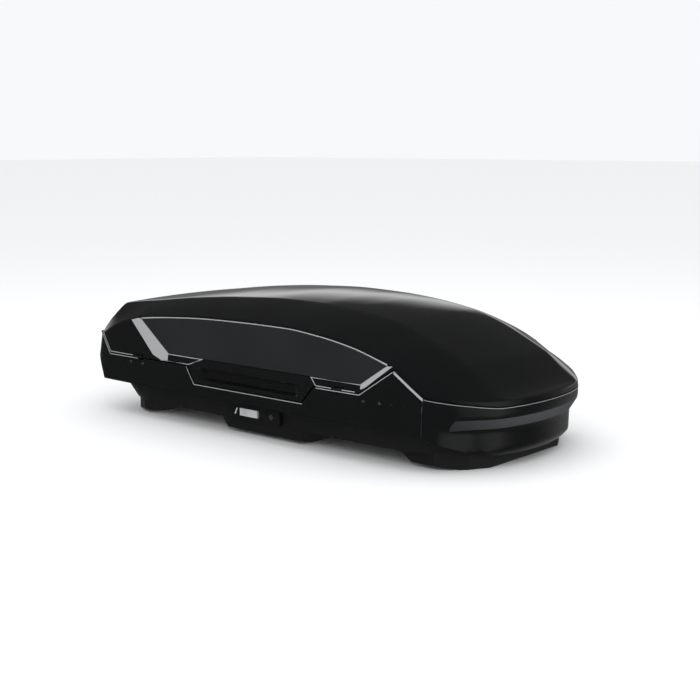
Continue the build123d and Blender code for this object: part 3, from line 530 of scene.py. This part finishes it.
def side_piece(name, low, high, x0, x1, side, finish, lift=0.0, rows=6):
    """A plate on the lid's side between two heights, from x0 to x1."""
    word, way = side
    places = stations(x0, x1, panel_corners, 12.0)
    points = []
    for k in range(rows + 1):
        row = []
        for x in places:
            z0 = low(x)
            z = z0 + max(high(x) - z0, 0.02) * k / rows
            row.append((x, way * (side_y(x, z) + lift), z))
        points.append(row if way < 0 else row[::-1])
    made = piece(f"{name}_{word}", grid_mesh(f"{name}_{word}", points), "lid", finish)
    thicken(made, PANEL_WALL, 0.5)
    return made


def panel_low(x):
    return max(level(PANEL_LOW, x), lid_low(x) + 1.0)


REAR_BAND_IN = [(TAIL + 242, 363.5), (TAIL + 414, 254)]
FRONT_BAND_IN = [(NOSE - 447, 254), (NOSE - 352, 321)]
panel_corners = [x for x, _ in PANEL_LOW + INNER_LOW + GRIP_TOP] + gap_ends
for side in SIDES:
    panel = side_piece("side_panel", lambda x: level(INNER_LOW, x) + EDGE,
                       lambda x: along(INNER_HIGH, x) - EDGE,
                       INNER_LOW[0][0] + 0.5, INNER_LOW[-1][0] - 0.5, side, satin_black,
                       rows=14)
    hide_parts(f"window_panel_{side[0]}")
    strip = side_piece("side_strip", lambda x: panel_low(x) + EDGE, lambda x: level(INNER_LOW, x) - EDGE,
                       TAIL + 414, NOSE - 447, side, gloss_black, rows=3)
    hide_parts(f"window_frame_{side[0]}")
    side_piece("side_line", lambda x: along(INNER_HIGH, x) + EDGE, lambda x: along(PANEL_HIGH, x) - EDGE,
               TAIL + 242, NOSE - 352, side, silver, lift=0.5, rows=1)
    side_piece("rear_band", lambda x: panel_low(x) + EDGE,
               lambda x: min(level(REAR_BAND_IN, x), along(PANEL_HIGH, x)) - EDGE,
               TAIL + 188, TAIL + 414, side, silver, lift=0.4, rows=2)
    side_piece("front_band", lambda x: panel_low(x) + EDGE,
               lambda x: min(level(FRONT_BAND_IN, x), along(PANEL_HIGH, x)) - EDGE,
               NOSE - 447, NOSE - 331, side, silver, lift=0.4, rows=2)

# ---- Side band of the base ----
# The base's visible band is the same capped sheet as the lid. Its gloss cap, 0.8 mm, lies over the ABS wall,
# runs round the tail, stops at the front bumper and rises into the fin at each side.
band_corners = [x for x, _ in SEAM_UNDER] + gap_ends
CAP_LIFT = 0.5


def band_top(x):
    edge = level(SEAM_UNDER, x)
    return min(edge, BAND_GAP_Z) if at_hinge(x) else edge


def band_spot(k, x):
    z = BAND_Z + (band_top(x) - BAND_Z) * k / 10
    return x, side_y(x, z) + CAP_LIFT, z


cap_rows = wrap(11, band_spot, stations(TAIL, TRIM_X - 0.6, band_corners))
cap = piece("band_cap", grid_mesh("band_cap", cap_rows), "base", gloss_black)
thicken(cap, 0.8, 0.3)

# ---- Front bumper ----
# A separate blow-moulded nose screwed to the base, gloss black, tucked in under a lip. A grey strip runs
# round it under the lip, with a slanted end on each side. Its grey is a painted reflection, lighter to the
# nose.
TUCK = [(40, 32), (60, 26), (128, 26), (172, 0), (205, 0), (245, 0)]
SIDE_IN = [(40, 14), (60, 2), (128, 0), (172, 0), (205, 0), (245, 7)]
BUMPER_LOW = [(TRIM_X, 113), (NOSE - 90, 58), (NOSE - 50, 40), (NOSE + 60, 40)]


def nose_spot(x, z, lift=0.0):
    """A point on the bumper's face, reached from the belt line at x."""
    ramp = min(max((x - (NOSE - 180)) / 100, 0), 1)
    run = level(TUCK, z) * ramp * ramp * (3 - 2 * ramp)
    ahead = min(x + 0.2, NOSE)
    slope = (belt(ahead) - belt(ahead - 0.4)) / 0.4
    length = sqrt(1 + slope * slope)
    step = lift - level(SIDE_IN, z)
    wide = belt(x)
    narrowed = wide - run * 0.7 * min(wide / 138, 1) + step / length * min(wide / 20, 1)
    return x - run * 0.8 - step * slope / length, narrowed, z


def bumper_spot(k, x):
    low = level(BUMPER_LOW, x)
    return nose_spot(x, low + (level(SEAM_UNDER, x) - low) * k / 18)


nose_places = stations(TRIM_X + 0.4, NOSE, [NOSE - 150, NOSE - 105, NOSE - 60, NOSE - 35] + TIP_PLACES, 7.0)
bumper = piece("nose_bumper", grid_mesh("nose_bumper", wrap(19, bumper_spot, nose_places, tail=False)),
               "base", gloss_black)
thicken(bumper, 4.0, 1.2)
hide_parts("front_bumper")

# Painted reflection: a grey strip stands in for the pale ground mirrored in a downward-facing gloss chamfer,
# painted lighter towards the nose.
reflection_grey, tree, shader = material("painted_reflection_grey", roughness=0.38, ior=1.5)
place = add(tree, "ShaderNodeTexCoord")
split = add(tree, "ShaderNodeSeparateXYZ", {0: place.outputs["Object"]})
reflection_fade = add(tree, "ShaderNodeMapRange", {"Value": split.outputs["X"], "From Min": 0.74, "From Max": 0.885})
tint = add(tree, "ShaderNodeMix", {0: reflection_fade.outputs["Result"], 6: colour("28292b"), 7: colour("484b4e")},
           data_type="RGBA")
tree.links.new(tint.outputs[2], shader.inputs["Base Color"])
REFLECTION_Z = (134.0, 168.0)


def reflection_spot(k, x):
    z = REFLECTION_Z[0] + (REFLECTION_Z[1] - REFLECTION_Z[0]) * k / 6
    start = NOSE - 140 + 15 * k / 6
    return nose_spot(max(x, start), z, 0.5)


# The strip under the lip carries the painted reflection in grey.
reflection_rows = wrap(7, reflection_spot, [x for x in nose_places if x > NOSE - 142], tail=False)
reflection_strip = piece("painted_reflection_stripe", grid_mesh("painted_reflection_stripe", reflection_rows), "base", reflection_grey)
thicken(reflection_strip, 1.4, 0.5)
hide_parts("bumper_inlay")

# ---- Thin silver lines ----
# Narrow bright lips along the parting line, 2.4 mm wide and a little proud of the sheet: round each grip,
# round the black strips, up the fin and across the nose.
LINE_WIDTH = 2.4


def side_line(name, line, side, body, width=LINE_WIDTH, lift=0.9):
    """A narrow strip along a straight-sided line on the side of the box."""
    word, way = side
    half = width / 2
    upper = shifted(line, half)
    lower = shifted(line, -half)
    places = []
    for a, b in zip(range(len(line) - 1), range(1, len(line))):
        parts = max(1, round(abs(line[b][0] - line[a][0]) / 12) + round(abs(line[b][1] - line[a][1]) / 12))
        places += [a + i / parts for i in range(parts)]
    places.append(len(line) - 1)
    rows = []
    for edge in (lower, upper):
        row = []
        for t in places:
            i = min(int(t), len(line) - 2)
            x = edge[i][0] + (edge[i + 1][0] - edge[i][0]) * (t - i)
            z = edge[i][1] + (edge[i + 1][1] - edge[i][1]) * (t - i)
            row.append((x, way * (side_y(x, z) + lift), z))
        rows.append(row if way < 0 else row[::-1])
    made = piece(f"{name}_{word}", grid_mesh(f"{name}_{word}", rows), body, silver)
    thicken(made, 0.9, 0.3)
    return made


REAR_SEAM = [(TAIL + 4, 290), (TAIL + 20, 283), (TAIL + 81, 217.5), (-381, 220)]
for side in SIDES:
    side_line("strip_line_rear", [(TAIL + 414, 251.5), (-293, 251.5), (-360, 226.8), (TAIL + 375, 226.8)],
              side, "lid", 2.6)
    side_line("strip_line_front", [(NOSE - 447, 251.5), (231, 251.5), (255, 226.8), (NOSE - 467, 226.8)],
              side, "lid", 2.6)
    side_line("grip_line", [(-370, 218.5), (-326, 159.5), (199, 159.5)], side, "base")
    side_line("tail_line_low", REAR_SEAM[:3] + [(TAIL + 250, 218.2)], side, "base", 2.4)
    side_line("tail_line_high", [(TAIL + 8, 298), (TAIL + 24, 291), (TAIL + 82, 227), (TAIL + 250, 227)],
              side, "lid", 2.4)
    side_line("fin_line_rear", [(256, 219.5), (439.5, 219.5), (560, 304.5)], side, "base", 2.6)
    side_line("fin_line_front", [(563, 304.0), (TRIM_X - 3, 232.0)], side, "base", 9.0)
    side_line("joint_line", [(TRIM_X - 2.2, 231), (TRIM_X - 2.0, BAND_Z + 2)], side, "base", 3.0)
    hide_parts(f"edge_trim_{side[0]}")


def lip_spot(k, x):
    """Silver lip along the bumper's top edge."""
    top = level(SEAM_UNDER, x)
    return nose_spot(x, top - 2.4 + 1.6 * k, 0.7)


lip_rows = wrap(2, lip_spot, nose_places, tail=False)
lip = piece("nose_line", grid_mesh("nose_line", lip_rows), "base", silver)
thicken(lip, 0.8, 0.3)

# ---- Hand grips ----
# A moulded black handle on each side of the lid: a ridge to lift by, undercut by a pocket for the fingers.
RIDGE_Z = (221.0, 240.0)
SCOOP_Z = (176.0, 215.0)
SCOOP_X = (-300.0, 178.0)


def ease(x, start, end):
    t = min(max((x - start) / (end - start), 0), 1)
    return t * t * (3 - 2 * t)


RIDGE_OUT = 5.5
SCOOP_IN = 17.0


def grip_face(x, z):
    """How far the handle's face stands out from the side."""
    ends = ease(x, -345, -318) * ease(x, 228, 205)
    ridge = RIDGE_OUT * ease(z, RIDGE_Z[0] - 3, RIDGE_Z[0] + 2)
    ridge *= ease(z, RIDGE_Z[1] + 8, RIDGE_Z[1] - 6) * ends
    inside = ease(x, SCOOP_X[0], SCOOP_X[0] + 22) * ease(x, SCOOP_X[1], SCOOP_X[1] - 22)
    scoop = SCOOP_IN * ease(z, SCOOP_Z[0] - 4, SCOOP_Z[0] + 16)
    scoop *= ease(z, SCOOP_Z[1] + 5, SCOOP_Z[1] - 1) * inside
    return ridge - scoop


GRIP_LOW = [(-361, 226.6), (-322, 165.4), (196, 165.4), (245, 226.6)]
GRIP_HIGH = [(-361, 227.0), (-291, 250.9), (227, 250.9), (245, 227.0)]
grip_corners = [x for x, _ in GRIP_LOW + GRIP_HIGH] + list(SCOOP_X)
for side in SIDES:
    word, way = side
    places = stations(-361, 245, grip_corners + [-318, -345, 205, 228], 8.0)
    rows = []
    for k in range(37):
        row = []
        for x in places:
            z0, z1 = level(GRIP_LOW, x), level(GRIP_HIGH, x)
            z = z0 + (z1 - z0) * k / 36
            row.append((x, way * (side_y(x, z) + grip_face(x, z)), z))
        rows.append(row if way < 0 else row[::-1])
    handle = piece(f"handle_{word}", grid_mesh(f"handle_{word}", rows), "lid", gloss_black)
    thicken(handle, 3.5, 0.6)
    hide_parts(f"grip_{word}")

# ---- Tray of the base ----
# Vacuum-formed ABS without the acrylic cap, satin black with a fine cellular grain and a cloudy tint.
# Its keels carry the load.
def dress(finish, *names):
    """Gives carried-over pieces this finish."""
    for name in names:
        for held in bpy.data.objects[name].material_slots:
            held.material = finish


def both_sides(*stems):
    return [f"{stem}_{word}" for stem in stems for word, _ in SIDES]


def moulded(name, dark, light, grain_mm, depth_mm, **shares):
    """A material with a cellular moulding grain and a cloudy tint between two colours."""
    made, tree, shader = material(name, **shares)
    place = add(tree, "ShaderNodeTexCoord")
    grain = add(tree, "ShaderNodeTexVoronoi", {"Vector": place.outputs["Object"], "Scale": 1000 / grain_mm})
    cloud = add(tree, "ShaderNodeTexNoise", {"Vector": place.outputs["Object"], "Scale": 9.0, "Detail": 5.0})
    tint = add(tree, "ShaderNodeMix", {0: cloud.outputs["Fac"], 6: colour(dark), 7: colour(light)},
               data_type="RGBA")
    bump = add(tree, "ShaderNodeBump", {"Height": grain.outputs["Distance"], "Strength": 0.25,
                                        "Distance": depth_mm * MM})
    tree.links.new(tint.outputs[2], shader.inputs["Base Color"])
    tree.links.new(bump.outputs["Normal"], shader.inputs["Normal"])
    return made


grained_abs = moulded("grained_abs", "121314", "1a1b1c", 1.6, 0.3, roughness=0.48, ior=1.53)
dress(grained_abs, "base_shell")

# ---- Lock plates ----
# A black nylon plate screwed into each side of the tray, with a slide knob that works the latch bar and a
# round key cylinder. A slanted bar printed beside the knob marks its locked end.
black_nylon = moulded("moulded_nylon", "0e0f10", "151617", 0.9, 0.15, roughness=0.42, ior=1.53)
grey_knob = moulded("grey_moulded_acetal", "b4b6b8", "c4c6c8", 0.9, 0.1, roughness=0.4, ior=1.48)
dress(black_nylon, *both_sides("lock_plate"))
dress(grey_knob, *both_sides("slide_knob"))
PLATE_FACE = HALF_WIDTH - 31.0
MARK = [(-150.0, 74.0), (-144.0, 74.0), (-134.0, 96.0), (-140.0, 96.0)]
for word, way in SIDES:
    made = bmesh.new()
    low_face = [made.verts.new(Vector((x, way * (PLATE_FACE + 0.1), z)) * MM) for x, z in MARK]
    made.faces.new(low_face if way < 0 else low_face[::-1])
    data = bpy.data.meshes.new(f"index_mark_{word}")
    made.to_mesh(data)
    made.free()
    mark = piece(f"index_mark_{word}", data, "base", grey_knob)
    thicken(mark, 0.2, 0.05, outward=0.2)

# ---- Latch and hinge steel ----
# Each side has a flat hinge link and a latch bar of pressed steel. Pins, keepers, rivets, latch bars and lock
# cylinders are zinc plated, with a faint spangle. Links, lugs, hoops and brackets are powder coated.
zinc, tree, shader = material("zinc_plated_steel", metallic=1.0)
place = add(tree, "ShaderNodeTexCoord")
spangle = add(tree, "ShaderNodeTexVoronoi", {"Vector": place.outputs["Object"], "Scale": 220.0})
shade = add(tree, "ShaderNodeMix", {0: spangle.outputs["Color"], 6: colour("a9acaf"), 7: colour("c9cbcc")},
            data_type="RGBA")
polish = add(tree, "ShaderNodeMapRange", {"Value": spangle.outputs["Distance"], "To Min": 0.26,
                                          "To Max": 0.42})
tree.links.new(shade.outputs[2], shader.inputs["Base Color"])
tree.links.new(polish.outputs["Result"], shader.inputs["Roughness"])
dress(zinc, "base_rivets", *both_sides("keepers", "hinge_pins", "latch_bar", "lock_cylinder"))

powder, tree, shader = material("powder_coated_steel", roughness=0.38, ior=1.5)
place = add(tree, "ShaderNodeTexCoord")
peel = add(tree, "ShaderNodeTexNoise", {"Vector": place.outputs["Object"], "Scale": 450.0, "Detail": 2.0})
tint = add(tree, "ShaderNodeMix", {0: peel.outputs["Fac"], 6: colour("0c0d0e"), 7: colour("1b1c1d")},
           data_type="RGBA")
bump = add(tree, "ShaderNodeBump", {"Height": peel.outputs["Fac"], "Strength": 0.3, "Distance": 0.0003})
tree.links.new(tint.outputs[2], shader.inputs["Base Color"])
tree.links.new(bump.outputs["Normal"], shader.inputs["Normal"])
dress(powder, "lifter_brackets", "lid_hoops", *both_sides("hinge_link", "lid_lugs", "lifter_tubes"))

# ---- Gas lifters ----
# Two on each side, a black painted tube with a hard chromed rod that is ground lengthwise.
chrome, tree, shader = material("hard_chrome", metallic=1.0)
place = add(tree, "ShaderNodeTexCoord")
drawn = add(tree, "ShaderNodeMapping", {"Vector": place.outputs["Object"], "Scale": (8.0, 900.0, 900.0)})
ground = add(tree, "ShaderNodeTexNoise", {"Vector": drawn.outputs["Vector"], "Scale": 1.0, "Detail": 3.0})
polish = add(tree, "ShaderNodeMapRange", {"Value": ground.outputs["Fac"], "To Min": 0.06, "To Max": 0.2})
shade = add(tree, "ShaderNodeMix", {0: ground.outputs["Fac"], 6: colour("d2d4d6"), 7: colour("e4e5e6")},
            data_type="RGBA")
tree.links.new(shade.outputs[2], shader.inputs["Base Color"])
tree.links.new(polish.outputs["Result"], shader.inputs["Roughness"])
dress(chrome, *both_sides("lifter_rods"))

# ---- Floor rails ----
# Two aluminium extrusions riveted along the tray's floor, mill finish with drawing lines along them.
mill, tree, shader = material("mill_finish_aluminium", metallic=1.0)
place = add(tree, "ShaderNodeTexCoord")
drawn = add(tree, "ShaderNodeMapping", {"Vector": place.outputs["Object"], "Scale": (3.0, 500.0, 500.0)})
streak = add(tree, "ShaderNodeTexNoise", {"Vector": drawn.outputs["Vector"], "Scale": 1.0, "Detail": 4.0})
polish = add(tree, "ShaderNodeMapRange", {"Value": streak.outputs["Fac"], "To Min": 0.28, "To Max": 0.5})
shade = add(tree, "ShaderNodeMix", {0: streak.outputs["Fac"], 6: colour("b6b8ba"), 7: colour("d0d2d3")},
            data_type="RGBA")
tree.links.new(shade.outputs[2], shader.inputs["Base Color"])
tree.links.new(polish.outputs["Result"], shader.inputs["Roughness"])
dress(mill, *both_sides("floor_rail"))

# ---- Crossbar clamps ----
# Four quick clamps on the rails: a nylon housing, a red knob on top and two powder coated steel jaws
# under the floor.
red_nylon = moulded("red_moulded_nylon", "8e1214", "a21a1c", 1.0, 0.12, roughness=0.4, ior=1.53)
for corner in both_sides("rear", "front"):
    dress(black_nylon, f"clamp_housing_{corner}")
    dress(red_nylon, f"clamp_knob_{corner}")
    dress(powder, f"clamp_jaw_fore_{corner}", f"clamp_jaw_aft_{corner}")

# ---- Cargo straps ----
# Two woven polyester straps, 25 mm wide, pulled tight across the rails between moulded anchors on the walls.
webbing, tree, shader = material("woven_polyester", roughness=0.75, ior=1.55, sheen_weight=0.3)
place = add(tree, "ShaderNodeTexCoord")
ribs = add(tree, "ShaderNodeTexWave", {"Vector": place.outputs["Object"], "Scale": 1000 / 2.4 / 6.3},
           bands_direction="Y")
lengths = add(tree, "ShaderNodeTexWave", {"Vector": place.outputs["Object"], "Scale": 1000 / 3.2 / 6.3},
              bands_direction="X")
weave = add(tree, "ShaderNodeMath", {0: ribs.outputs["Fac"], 1: lengths.outputs["Fac"]}, operation="MULTIPLY")
tint = add(tree, "ShaderNodeMix", {0: weave.outputs["Value"], 6: colour("121314"), 7: colour("2b2c2e")},
           data_type="RGBA")
bump = add(tree, "ShaderNodeBump", {"Height": weave.outputs["Value"], "Strength": 0.6, "Distance": 0.0004})
tree.links.new(tint.outputs[2], shader.inputs["Base Color"])
tree.links.new(bump.outputs["Normal"], shader.inputs["Normal"])
dress(black_nylon, "strap_buckles", "strap_anchors")
STRAP_X = {"rear": -130.0, "front": 70.0}
STRAP_HALF = 12.5
STRAP_FACE = 1.6    # each face from the middle of the webbing
STRAP_PATH = [(-366.0, 92.0), (-270.0, 65.3), (270.0, 65.3), (366.0, 92.0)]
for word, middle in STRAP_X.items():
    points = []
    for (y0, z0), (y1, z1) in zip(STRAP_PATH, STRAP_PATH[1:]):
        parts = max(2, round(abs(y1 - y0) / 12))
        points += [(y0 + (y1 - y0) * i / parts, z0 + (z1 - z0) * i / parts) for i in range(parts)]
    points.append(STRAP_PATH[-1])
    across = [middle + STRAP_HALF * (i / 3 - 1) for i in range(7)]
    rows = [[(x, y, z) for y, z in points] for x in across]
    strap = piece(f"webbing_{word}", grid_mesh(f"webbing_{word}", rows), "base", webbing)
    for polygon in strap.data.polygons:
        if polygon.normal.z < 0:
            polygon.flip()
    thicken(strap, STRAP_FACE, 0.3, outward=STRAP_FACE - 0.001)
    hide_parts(f"strap_{word}")
